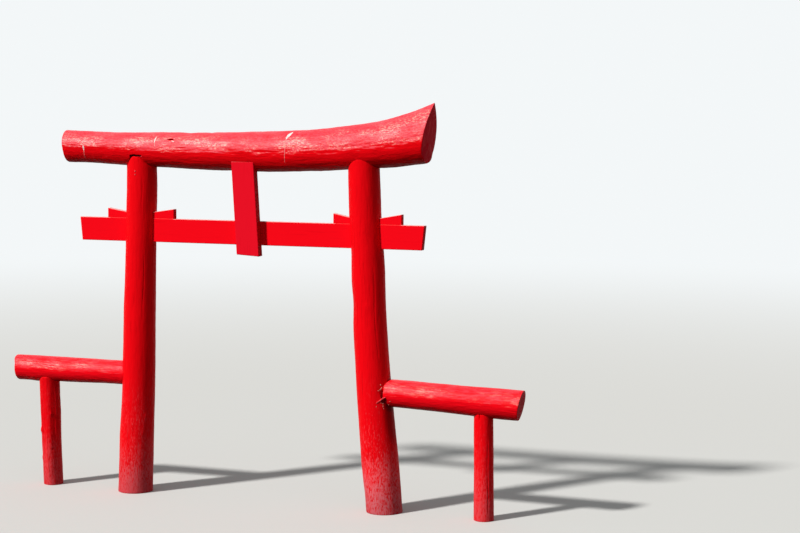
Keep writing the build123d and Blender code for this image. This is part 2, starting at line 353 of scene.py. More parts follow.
def linked_object(name, data):
    thing = bpy.data.objects.new(name, data)
    bpy.context.scene.collection.objects.link(thing)
    return thing


def mesh_object(name, vertices, faces):
    mesh = bpy.data.meshes.new(name)
    mesh.from_pydata(vertices, [], faces)
    mesh.update()
    return linked_object(name, mesh)


def smooth_with_sharp_edges(piece, degrees):
    piece.data.polygons.foreach_set("use_smooth", [True] * len(piece.data.polygons))
    piece.data.set_sharp_from_angle(angle=math.radians(degrees))


def bridge(lower, upper, count, faces):
    """Joins two rings of equally many vertices, each given by its first vertex."""
    for column in range(count):
        after = (column + 1) % count
        faces.append((lower + column, lower + after, upper + after, upper + column))


@dataclass
class LogPlan:
    """What one log looks like: its mesh, its centre line, its two ends, and the marks on it.

    `arrises` are the rounded edges at the start and the end in mm, and `scribed` says which end
    follows another log. `axis` is the degree of the centre line and the shares of the length at
    which it is fitted. `zones` get a finer mesh, each (start, end, spacing in mm). The finish is
    the node's own unless another is named."""

    node: str
    upright: bool
    rows: int
    spokes: int
    seed: int
    strength: float
    arrises: tuple
    scribed: tuple
    axis: tuple = ()
    finish: str = ""
    end_finish: str = "end"
    knots: tuple = ()
    checks: tuple = ()
    zones: tuple = ()
    reshape_start: object = None
    reshape_end: object = None
    carve: object = None


TUCK = 5 * MM
CAP_STEPS = 14
SHARP_ON_LOGS, SHARP_ON_MARKS = 40, 50


def rounded_edge(arris):
    """Rows of a quarter-round edge: how far each is from the end, and how far it is drawn in."""
    turns = [math.radians(degrees) for degrees in (0, 30, 60, 90)]
    return [(arris * (1 - math.cos(turn)), arris * (1 - math.sin(turn))) for turn in turns]


def row_shares(plan, first, last):
    """Where the rows between the two rounded edges lie, as shares of the log's length."""
    shares = list(np.linspace(0, 1, plan.rows))
    for start, end, spacing in plan.zones:
        low = max((start - first) / (last - first), 0)
        high = min((end - first) / (last - first), 1)
        shares = [share for share in shares if share < low or share > high]
        shares += list(np.linspace(low, high, round((end - start) / (spacing * MM))))
    return np.array(sorted(shares))


def log_rows(plan, first, last):
    """Station of each row at each spoke, and how far each row is drawn in by a rounded edge."""
    start_arris, end_arris = (arris * MM for arris in plan.arrises)
    start_edge, end_edge = rounded_edge(start_arris)[:-1], rounded_edge(end_arris)[:-1]
    shares = row_shares(plan, first.mean(), last.mean())
    inner_first, inner_last = first + start_arris, last - end_arris
    stations = [first + offset for offset, _ in start_edge]
    stations += [inner_first + (inner_last - inner_first) * share for share in shares]
    stations += [last - offset for offset, _ in reversed(end_edge)]
    drawn_in = [inset for _, inset in start_edge] + [0.0] * len(shares)
    drawn_in += [inset for _, inset in reversed(end_edge)]
    return np.array(stations), np.array(drawn_in)[:, None]


def build_log(plan, shape):
    """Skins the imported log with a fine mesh: rows along it, spokes around it, and two closed ends."""
    angles = np.arange(plan.spokes) * 2 * math.pi / plan.spokes
    spokes = [shape.p * math.cos(angle) + shape.q * math.sin(angle) for angle in angles]
    ends = []
    for scribed, outward in zip(plan.scribed, (-1, 1)):
        ends.append(shape.scribed_end(spokes, outward) if scribed else shape.sawn_end(spokes, outward))
    first, last = ends
    first_tuck = last_tuck = np.full(plan.spokes, TUCK)
    if plan.reshape_start:
        first, first_tuck = plan.reshape_start(angles, first, first_tuck)
    if plan.reshape_end:
        last, last_tuck = plan.reshape_end(angles, last, last_tuck)
    stations, drawn_in = log_rows(plan, first, last)
    clear = shape.CLEAR_OF_EDGE
    measured = np.clip(stations, np.maximum(first, ends[0]) + clear, np.minimum(last, ends[1]) - clear)
    radii = fill_gaps(np.array([
        [shape.radius(station, spoke) for station, spoke in zip(row, spokes)] for row in measured
    ]))
    radii = (np.roll(radii, 1, axis=1) + 2 * radii + np.roll(radii, -1, axis=1)) / 4
    girth = radii.mean()
    around = np.broadcast_to(angles, stations.shape)
    radii = radii + timber_relief(stations, around, girth, plan.seed, plan.strength)
    radii += knot_relief(stations, around, girth, plan.knots)
    radii += check_relief(stations, around, girth, plan.checks)
    radii -= drawn_in
    if plan.scribed[0]:
        stations[0] -= first_tuck
    if plan.scribed[1]:
        stations[-1] += last_tuck
    if plan.carve:
        radii -= plan.carve(shape, stations, angles, radii)
    vertices, faces, end_faces = [], [], []
    for row in range(len(stations)):
        for column in range(plan.spokes):
            place = shape.centre(stations[row, column]) + spokes[column] * radii[row, column]
            vertices.append(tuple(place))
    for row in range(len(stations) - 1):
        bridge(row * plan.spokes, (row + 1) * plan.spokes, plan.spokes, faces)
    for scribed, row, outward in ((plan.scribed[0], 0, -1), (plan.scribed[1], len(stations) - 1, 1)):
        close_end(shape, stations[row], row * plan.spokes, scribed, outward, vertices, end_faces)
    piece = mesh_object(plan.node + "_log", vertices, faces + end_faces)
    piece["end_faces"] = len(end_faces)
    smooth_with_sharp_edges(piece, SHARP_ON_LOGS)
    return piece


def close_end(shape, rim_stations, previous, scribed, outward, vertices, faces):
    """Rings from a rim to its middle: flat on a sawn end, dished on a scribed one."""
    count = len(rim_stations)
    ring = [Vector(vertices[previous + column]) for column in range(count)]
    seat = rim_stations.min() if outward > 0 else rim_stations.max()
    middle = shape.centre(seat if scribed else rim_stations.mean())
    for step in range(1, CAP_STEPS):
        share = 1 - step / CAP_STEPS
        begin = len(vertices)
        for point in ring:
            place = middle + (point - middle) * share
            if scribed:
                place += shape.run * (point.dot(shape.run) - seat) * (share * share - share)
            vertices.append(tuple(place))
        lower, upper = (previous, begin) if outward > 0 else (begin, previous)
        bridge(lower, upper, count, faces)
        previous = begin
    hub = len(vertices)
    vertices.append(tuple(middle))
    for column in range(count):
        near = (previous + column, previous + (column + 1) % count)
        faces.append((*near, hub) if outward > 0 else (near[1], near[0], hub))


# Small marks that lie on the logs

def front_hit(tree, x, z):
    """Surface point and outward normal seen from the front at this place."""
    return tree.ray_cast(Vector((x, -1.0, z)), Vector((0, 1, 0)))[:2]


def smooth_line(points, steps):
    """Each point of a Catmull-Rom line with its direction. The points that it goes through have
    equally many numbers, the last of them a size in mm."""
    points = [np.array((*place, size * MM), dtype=float) for *place, size in points]
    padded = [2 * points[0] - points[1], *points, 2 * points[-1] - points[-2]]
    line = []
    for index in range(1, len(padded) - 2):
        before, start, end, after = padded[index - 1:index + 3]
        for step in range(steps):
            t = step / steps
            line.append(0.5 * (
                2 * start + (end - before) * t + (2 * before - 5 * start + 4 * end - after) * t**2
                + (3 * start - before - 3 * end + after) * t**3
            ))
    line.append(points[-1])
    return list(zip(line, np.subtract([*line[1:], line[-1]], [line[0], *line[:-1]])))


def mark_rings(tree, path, thickness):
    """Rings of a thin splash on the front of a log, each point of its path (x, z, half width)."""
    rings = []
    for (x, z, half), direction in smooth_line(path, MARK_STEPS):
        along = Vector(direction[:2]).normalized()
        side = Vector((-along.y, along.x))
        wobble = 1 + 0.25 * noise.noise(Vector((x * 90, z * 90, 3.1)))
        top, under = [], []
        for step in range(MARK_STRIPS + 1):
            share = 2 * step / MARK_STRIPS - 1
            off = side * share * half * wobble
            place, normal = front_hit(tree, x + off.x, z + off.y)
            top.append(place + normal * thickness * (1 - share * share))
            under.append(place - normal * MM)
        rings.append(top + under[::-1])
    return rings


def strand_rings(path):
    """Rings of a tapered sliver through points (x, y, z, radius)."""
    rings = []
    for (x, y, z, radius), direction in smooth_line(path, STRAND_STEPS):
        along = Vector(direction[:3]).normalized()
        side = along.cross(Vector((0.3, -0.8, 0.5))).normalized()
        up = side.cross(along)
        middle = Vector((x, y, z))
        ring = []
        for step in range(STRAND_SIDES):
            turn = 2 * math.pi * step / STRAND_SIDES
            grow = radius * (1 + 0.2 * noise.noise(middle * 300 + side * step))
            ring.append(middle + (side * math.cos(turn) + up * math.sin(turn)) * grow)
        rings.append(ring)
    return rings


def nail_rings(place, normal):
    """Rings of a low painted dome that stands on a surface."""
    side = normal.orthogonal().normalized()
    up = normal.cross(side)
    turns = [2 * math.pi * step / NAIL_SIDES for step in range(NAIL_SIDES)]
    return [
        [
            place + normal * NAIL_RISE * rise
            + (side * math.cos(turn) + up * math.sin(turn)) * NAIL_RADIUS * reach
            for turn in turns
        ]
        for reach, rise in NAIL_PROFILE
    ]


def loft_rings(rings, vertices, faces):
    """Joins rings of equally many points and closes both ends."""
    begin, count = len(vertices), len(rings[0])
    vertices.extend(tuple(point) for ring in rings for point in ring)
    last = begin + (len(rings) - 1) * count
    for lower in range(begin, last, count):
        bridge(lower, lower + count, count, faces)
    faces.append(tuple(range(begin + count - 1, begin - 1, -1)))
    faces.append(tuple(range(last, last + count)))


def finish_piece(name, lofts, material):
    """One piece of several closed lofts, each a list of rings."""
    vertices, faces = [], []
    for rings in lofts:
        loft_rings(rings, vertices, faces)
    piece = mesh_object(name, vertices, faces)
    whole = bmesh.new()
    whole.from_mesh(piece.data)
    bmesh.ops.recalc_face_normals(whole, faces=whole.faces)
    whole.to_mesh(piece.data)
    whole.free()
    smooth_with_sharp_edges(piece, SHARP_ON_MARKS)
    piece.data.materials.append(material)
    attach(piece, BODY)


# Materials

class Tree:
    """The nodes of a material or a world, with short names for those that this script uses."""

    def __init__(self, owner):
        owner.use_nodes = True
        self.nodes, self.links = owner.node_tree.nodes, owner.node_tree.links

    def feed(self, socket, value):
        if isinstance(value, bpy.types.NodeSocket):
            self.links.new(value, socket)
        elif isinstance(value, tuple) and socket.type == "RGBA":
            socket.default_value = (*value, 1)
        else:
            socket.default_value = value

    def add(self, kind, inputs, **settings):
        """A new node with these settings, its inputs fed by name or number."""
        node = self.nodes.new("ShaderNode" + kind)
        for key, value in settings.items():
            setattr(node, key, value)
        for key, value in inputs.items():
            self.feed(node.inputs[key], value)
        return node

    def math(self, operation, first, second=0.0):
        return self.add("Math", {0: first, 1: second}, operation=operation).outputs[0]

    times = partialmethod(math, "MULTIPLY")
    plus = partialmethod(math, "ADD")
    minus = partialmethod(math, "SUBTRACT")

    def ramp(self, value, low, high, to_low=0.0, to_high=1.0):
        """Goes smoothly from one number to the other while the value goes from low to high."""
        ends = {"From Min": low, "From Max": high, "To Min": to_low, "To Max": to_high}
        node = self.add("MapRange", {"Value": value, **ends}, interpolation_type="SMOOTHSTEP")
        return node.outputs["Result"]

    def mix(self, share, first, second):
        node = self.add("Mix", {"Factor": share, "A": first, "B": second}, data_type="RGBA")
        return node.outputs["Result"]

    def mix_shaders(self, share, first, second):
        return self.add("MixShader", {0: share, 1: first.outputs[0], 2: second.outputs[0]})

    def background_rays(self):
        """1 for the camera's, mirrored and transmitted rays, which see the pale studio."""
        path = self.add("LightPath", {}).outputs
        seen = self.math("MAXIMUM", path["Is Camera Ray"], path["Is Glossy Ray"])
        return self.math("MAXIMUM", seen, path["Is Transmission Ray"])


class Shader(Tree):
    """A material for timber. Its grain leans by this turn in degrees."""

    def __init__(self, name, upright=True, turn=0.0):
        self.material = bpy.data.materials.new(name)
        super().__init__(self.material)
        self.upright, self.turn = upright, (0, math.radians(turn), 0)
        self.surface = self.nodes["Principled BSDF"]
        places = self.add("TexCoord", {}).outputs
        self.place, self.normal = places["Object"], places["Normal"]

    def set(self, socket, value):
        self.feed(self.surface.inputs[socket], value)

    def set_glint(self, level):
        self.set("Specular IOR Level", level)
        self.set("Specular Tint", RED_GLINT)

    def noise(self, scale, detail, rough=0.55, turn=(0, 0, 0)):
        """Noise that changes along each axis as quickly as the scale says."""
        place = self.add("Mapping", {"Vector": self.place, "Rotation": turn, "Scale": scale})
        inputs = {"Vector": place.outputs["Vector"], "Scale": 1.0, "Detail": detail, "Roughness": rough}
        return self.add("TexNoise", inputs).outputs["Fac"]

    def grain(self, along, around, detail, rough=0.55):
        """Noise that is slow along the grain and quick across it."""
        scale = (around, around, along) if self.upright else (along, around, around)
        return self.noise(scale, detail, rough, self.turn)

    def axis(self, vector, letter):
        return self.add("SeparateXYZ", {"Vector": vector}).outputs[letter]

    def spot(self, middle, half):
        """How far a place is from the middle of an ellipsoid: 0 there, 1 on its rim."""
        total = 0.0
        for letter, centre, reach in zip("XYZ", middle, half):
            share = self.math("DIVIDE", self.minus(self.axis(self.place, letter), centre), reach)
            total = self.plus(self.times(share, share), total)
        return total

    def bump(self, height, distance, strength, under=None):
        """Relief on a normal, with the distance in mm."""
        inputs = {"Height": height, "Distance": distance * MM, "Strength": strength}
        if under is not None:
            inputs["Normal"] = under
        return self.add("Bump", inputs).outputs["Normal"]


def log_paint(name, upright=True, turn=0.0, base=VERMILION, grain=46, sheen=0.0, gloss=0.0,
              lined=0.0, feet=0.0, salting=0.0, foot_darkening=0.0, dark=(), crevice=False):
    """Thick vermilion paint over timber. `sheen` and `gloss` are for logs that lie: what faces up is
    bleached and reflects the sky, `sheen` also paints a sheen of the sky and glints of the sun's
    highlight on it, and painted shade darkens the undersides; `lined` is how strongly red lines cross
    the pale face. `feet` is the height up to which salt has dulled the paint, `salting` is how
    strongly it does so on the ground, and `foot_darkening` is how much darker the paint is made
    towards the ground. `grain` is how quickly the flecks change along the log, and `dark` lists the
    places where deep shade is painted."""
    shader = Shader(name, upright, turn)
    streaks, fibres = shader.grain(5, 95, 4), shader.grain(14, 330, 3)
    flecks = shader.grain(grain, 110, 4, rough=0.6)
    colour = shader.mix(shader.ramp(streaks, 0.28, 0.46, 0.45, 0.0), base, DEEP_RED)
    if sheen:
        facing = shader.axis(shader.normal, "Z")
        wander = shader.times(shader.minus(streaks, 0.5), 0.55)
        upper = shader.ramp(shader.plus(facing, wander), 0.00, 0.16)
        # Painted shade in the crevice where it faces up, and no painted sheen there
        if crevice:
            hollow = shader.ramp(shader.spot(CREVICE_MIDDLE, CREVICE_HALF), 0.8, 1.2, 1, 0)
            colour = shader.mix(shader.times(hollow, upper), colour, DARKEST_RED)
            upper = shader.times(upper, shader.minus(1.0, hollow))
        grit, clumps = shader.grain(grain, 95, 3, rough=0.7), shader.noise((4, 9, 9), 3)
        # Bleached paint with a painted sheen of the sky on what faces up, less of it along red lines
        dust_and_sheen = shader.times(upper, shader.ramp(flecks, 0.36, 0.58, 0.35 * sheen, sheen))
        if lined:
            dust_and_sheen = shader.times(dust_and_sheen, shader.ramp(shader.grain(10, 52, 2), 0.44, 0.56, 1 - lined, 1.0))
        colour = shader.mix(dust_and_sheen, colour, CHALK_AND_SHEEN_PINK)
        # Painted glints of the sun's highlight, speckled, in the band on the upper front where it falls
        highlight_band = shader.times(upper, shader.ramp(facing, 0.62, 0.92, 1.0, 0.0))
        painted_glints = shader.times(shader.ramp(grit, 0.51, 0.59), shader.ramp(clumps, 0.42, 0.60))
        painted_glints = shader.times(shader.times(painted_glints, highlight_band), 0.9 * sheen)
        colour = shader.mix(painted_glints, colour, PAINTED_GLINT_PINK)
        glint = shader.ramp(clumps, 0.38, 0.62, 0.4 * gloss, gloss)
        shader.set("Coat Weight", shader.times(upper, glint))
        shader.set("Coat Roughness", 0.30)
        # Painted shade on the undersides of lying logs, darkest where they face straight down
        colour = shader.mix(shader.ramp(facing, -0.98, -0.60, 0.7, 0.0), colour, DARKEST_RED)
    if feet:
        height = shader.axis(shader.place, "Z")
        limit = shader.ramp(height, 0.0, feet, 0.46, 0.60)
        mottle = shader.times(shader.plus(flecks, shader.grain(24, 170, 4, rough=0.65)), 0.5)
        drift = shader.times(shader.minus(shader.noise((3, 3, 3), 3), 0.5), 0.25)
        salt = shader.ramp(shader.minus(shader.plus(mottle, drift), limit), -0.08, 0.09)
        weight = shader.ramp(height, 0.05, 0.50, salting, 0.35 * salting)
        weight = shader.times(weight, shader.ramp(height, 0.55, 1.10, 1.0, 0.0))
        colour = shader.mix(shader.times(salt, weight), colour, SALT_PINK)
        # Paint made darker towards the ground
        colour = shader.mix(shader.ramp(height, 0.0, 0.45 * feet, foot_darkening, 0.0), colour, DARKEST_RED)
    # Painted shade in the places that `dark` lists
    for middle, half, share in dark:
        inside = shader.ramp(shader.spot(middle, half), 0.4, 1.3, share, 0)
        colour = shader.mix(inside, colour, DARKEST_RED)
    shader.set("Base Color", colour)
    shader.set("Roughness", shader.ramp(flecks, 0.35, 0.7, 0.40, 0.54))
    shader.set_glint(0.05)
    normal = shader.bump(shader.plus(streaks, shader.times(fibres, 0.5)), 1.6, 0.55)
    normal = shader.bump(flecks, 3.0 if sheen else 1.4, 0.8, normal)
    if sheen:
        normal = shader.bump(grit, 2.2, 0.8, normal)
        shader.set("Coat Normal", normal)
    shader.set("Normal", normal)
    return shader.material


def end_paint(name, shade):
    """Duller paint on the sawn ends, with upright brush and saw marks."""
    shader = Shader(name)
    brush, saw = shader.noise((60, 60, 4), 4), shader.noise((30, 150, 150), 3)
    dull, streak = (tuple(shade * part for part in colour) for colour in (END_RED, END_STREAK))
    shader.set("Base Color", shader.mix(shader.ramp(brush, 0.52, 0.68, 0.0, 0.8), dull, streak))
    shader.set("Roughness", 0.55)
    shader.set_glint(0.02)
    shader.set("Normal", shader.bump(shader.plus(brush, shader.times(saw, 0.4)), 1.2, 0.6))
    return shader.material


def plank_paint(name, base, upright, top_sheen, sheltered=()):
    """Smoother paint on sawn timber, with faint grain, dull ends and a painted sheen of the sky, with a
    gloss coat, on what faces up. `top_sheen` is how pale that sheen is, and `sheltered` lists
    ellipsoids in which less of it is painted."""
    shader = Shader(name, upright)
    streaks, flecks = shader.grain(3, 70, 4), shader.grain(30, 90, 4)
    colour = shader.mix(shader.ramp(streaks, 0.30, 0.42, 0.22, 0.0), base, DEEP_RED)
    # Painted sheen of the sky on what faces up, less in the sheltered places; the same share sets the gloss
    # coat
    upward = shader.ramp(shader.axis(shader.normal, "Z"), 0.2, 0.8)
    for middle, half in sheltered:
        upward = shader.times(upward, shader.ramp(shader.spot(middle, half), 0.9, 1.1, 0.12, 1.0))
    pale = shader.times(upward, top_sheen)
    colour = shader.mix(pale, colour, SKY_SHEEN_PINK)
    sideways = shader.math("ABSOLUTE", shader.axis(shader.normal, "X"))
    colour = shader.mix(shader.ramp(sideways, 0.75, 0.92), colour, DEEP_RED)
    smooth_end = shader.ramp(sideways, 0.75, 0.92, 1.0, 0.0)
    shader.set("Base Color", colour)
    shader.set("Roughness", shader.ramp(flecks, 0.3, 0.7, 0.42, 0.56))
    shader.set_glint(0.02)
    shader.set("Coat Weight", pale)
    shader.set("Coat Roughness", 0.25)
    normal = shader.bump(shader.times(streaks, smooth_end), 1.0, 0.35)
    shader.set("Normal", shader.bump(shader.times(flecks, smooth_end), 0.8, 0.3, normal))
    return shader.material


def plain_paint(name, base, rough, grain):
    """One colour with a slight mottle, for droppings, splinters and nail heads."""
    shader = Shader(name)
    mottle = shader.noise((grain, grain, grain), 3)
    darker = tuple(0.72 * part for part in base)
    shader.set("Base Color", shader.mix(shader.ramp(mottle, 0.4, 0.6), darker, base))
    shader.set("Roughness", rough)
    shader.set("Specular IOR Level", 0.25)
    shader.set("Normal", shader.bump(mottle, 0.5, 0.5))
    return shader.material


# Stage

def make_world():
    bpy.context.scene.view_settings.view_transform = "Standard"
    world = bpy.data.worlds.new("studio")
    bpy.context.scene.world = world
    tree = Tree(world)
    tree.nodes.clear()
    shade = tree.add("Background", {"Color": SKY_COLOUR, "Strength": SKY_FOR_SHADE})
    shown = tree.add("Background", {"Color": BACKGROUND, "Strength": 1.0})
    blend = tree.mix_shaders(tree.background_rays(), shade, shown)
    tree.add("OutputWorld", {"Surface": blend.outputs[0]})


def make_floor():
    """A floor that fades into the background, and throws little light back on the gate."""
    mesh = bpy.data.meshes.new("floor")
    grid = bmesh.new()
    bmesh.ops.create_grid(grid, x_segments=8, y_segments=8, size=FLOOR_SIZE)
    grid.to_mesh(mesh)
    grid.free()
    floor = linked_object("floor", mesh)
    floor.location = FLOOR_MIDDLE
    material = bpy.data.materials.new("floor_pale")
    tree = Tree(material)
    tree.nodes.clear()
    place = tree.add("TexCoord", {}).outputs["Object"]
    length = tree.add("VectorMath", {0: place}, operation="LENGTH").outputs["Value"]
    pale = tree.add("BsdfDiffuse", {"Color": FLOOR_PALE})
    far = tree.add("Emission", {"Color": BACKGROUND})
    shown = tree.mix_shaders(tree.ramp(length, FLOOR_FADES_FROM, FLOOR_FADES_TO), pale, far)
    shade = tree.add("BsdfDiffuse", {"Color": FLOOR_FOR_SHADE})
    blend = tree.mix_shaders(tree.background_rays(), shade, shown)
    tree.add("OutputMaterial", {"Surface": blend.outputs[0]})
    mesh.materials.append(material)


def make_lights():
    sun = bpy.data.lights.new("sun", "SUN")
    sun.energy, sun.angle, sun.color = SUN_STRENGTH, math.radians(SUN_SPREAD), SUN_COLOUR
    lamp = linked_object("sun", sun)
    bearing, height = math.radians(SUN_BEARING), math.radians(SUN_HEIGHT)
    towards = Vector((
        -math.sin(bearing) * math.cos(height), -math.cos(bearing) * math.cos(height), math.sin(height)
    ))
    lamp.rotation_euler = towards.to_track_quat("Z", "Y").to_euler()


def make_camera():
    camera = bpy.data.cameras.new("camera")
    camera.lens, camera.sensor_width, camera.clip_end = LENS, SENSOR, VIEW_END
    seat = linked_object("camera", camera)
    turn = Matrix.Rotation(math.radians(CAMERA_YAW), 4, "Z")
    tilt = Matrix.Rotation(math.radians(90 + CAMERA_PITCH), 4, "X")
    roll = Matrix.Rotation(math.radians(CAMERA_ROLL), 4, "Z")
    seat.matrix_world = Matrix.Translation(CAMERA_PLACE) @ turn @ tilt @ roll
    bpy.context.scene.camera = seat


# The gate

def dress(piece, side_finish, end_finish, node):
    """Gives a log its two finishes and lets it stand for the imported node."""
    piece.data.materials.append(side_finish)
    piece.data.materials.append(end_finish)
    faces = piece.data.polygons
    ends = piece["end_faces"]
    faces.foreach_set("material_index", [0] * (len(faces) - ends) + [1] * ends)
    del piece["end_faces"]
    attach(piece, BODY)
    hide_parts(node)


def fit_beam_axis(shape):
    """Centre line of the beam: as far above its belly as half its width. The belly is fitted again
    without the stations that stray from it, where a seat is cut."""
    off_ends, samples, above_belly, stray = 0.08, 60, 0.13, 6 * MM
    outside = shape.p * shape.START_OUTSIDE
    stations = np.linspace(shape.first + off_ends, shape.last - off_ends, samples)
    middle = (shape.low + shape.high) / 2
    belly, half, side = [], [], []
    for station in stations:
        base = shape.run * station + shape.p * middle.dot(shape.p)
        below = shape.hit_from(base, shape.q)
        belly.append(below.dot(shape.q))
        level = shape.run * station + shape.q * (belly[-1] + above_belly)
        front = shape.hit_from(level - outside, shape.p).dot(shape.p)
        back = shape.hit_from(level + outside, -shape.p).dot(shape.p)
        half.append((back - front) / 2)
        side.append((back + front) / 2)
    belly, half = np.array(belly), np.array(half)
    smooth = np.polyfit(stations, belly, 4)
    for _ in range(4):
        good = np.abs(belly - np.polyval(smooth, stations)) < stray
        smooth = np.polyfit(stations[good], belly[good], 4)
    width = np.polyfit(stations, half, 5)
    shape.p_line = np.polyfit(stations, side, 1)
    size = max(len(smooth), len(width))
    shape.q_line = np.pad(smooth, (size - len(smooth), 0)) + np.pad(width, (size - len(width), 0))


def lip_height(x):
    """Top of the left pillar's lip in front of the beam."""
    fall = np.where(x < LIP_X, LIP_FALL_LEFT, LIP_FALL_RIGHT)
    return LIP_TOP - fall * (x - LIP_X) ** 2


def carve_beam(shape, stations, angles, radii):
    """The crevice over the left lip and the split above it, as depths to take off the beam."""
    heights = np.polyval(shape.q_line, stations) + np.sin(angles) * radii
    front = np.cos(angles) < 0
    share = smooth_step(stations, CREVICE_LEFT, CREVICE_RIGHT)
    half = CREVICE_HALF_HEIGHT - CREVICE_NARROWING * share
    ends = smooth_step(stations, CREVICE_LEFT, CREVICE_LEFT + 8 * MM)
    ends *= 1 - smooth_step(stations, CREVICE_RIGHT - 20 * MM, CREVICE_RIGHT)
    off = np.abs(heights - lip_height(stations) - CREVICE_RISE)
    depth = CREVICE_DEPTH * ends * (1 - smooth_step(off, 0.5 * half, half + 2 * MM))
    middle, half = SPLIT_DARK[:2]
    across = (heights - middle.z) / (half.z + 2 * MM)
    reach = np.hypot((stations - middle.x) / half.x, across)
    depth += SPLIT_DEPTH * (1 - smooth_step(reach, 0.3, 1.2))
    return np.where(front, depth, 0.0)


def open_lip(angles, last, tuck):
    """Lowers the left pillar's top towards both sides of its lip, which stands free of the beam."""
    turn = turn_between(angles, FRONT)
    free = (turn > LIP_FREE_LEFT) & (turn < LIP_FREE_RIGHT)
    x = LIP_MIDDLE + np.cos(angles) * LIP_REACH
    lowered = np.minimum(last + LIP_RAISE, lip_height(x))
    return np.where(free, lowered, last), np.where(free, 0.0, tuck)


def carve_lip(shape, stations, angles, radii):
    """Draws the right half of the lip in towards its rim, so that it merges with the beam."""
    turn = turn_between(angles, FRONT)
    side = smooth_step(turn, LIP_FREE_RIGHT - 0.05, LIP_FREE_RIGHT + 0.2)
    side *= 1 - smooth_step(turn, LIP_MERGED, LIP_MERGED + 0.3)
    near_rim = smooth_step(stations - stations[-1], -LIP_SINK_HEIGHT, 0)
    return LIP_SINK * side * near_rim


def open_root(angles, first, tuck):
    """Leaves a gap at the front of the right rail's root, where it has worked loose."""
    turn = np.abs(turn_between(angles, math.pi))
    loose = 1 - smooth_step(turn, ROOT_OPEN, ROOT_CLOSED)
    return first + ROOT_GAP * loose, tuck * (1 - loose)


def grow_end(outward, reach, top, low, high):
    """Lets part of a lying log's saw cut stand further out, by this reach in mm: its upper part
    where top is 1, its lower part where it is -1. It begins and is whole at these sines."""
    def reshape(angles, end, tuck):
        return end + outward * reach * MM * smooth_step(top * np.sin(angles), low, high), tuck

    return reshape


def lean_right_rail_end(angles, last, tuck):
    """Leans the right rail's saw cut out at its top, and in at its foot and at the back."""
    return last + (19 * np.sin(angles) - 4 * np.cos(angles) - 1) * MM, tuck


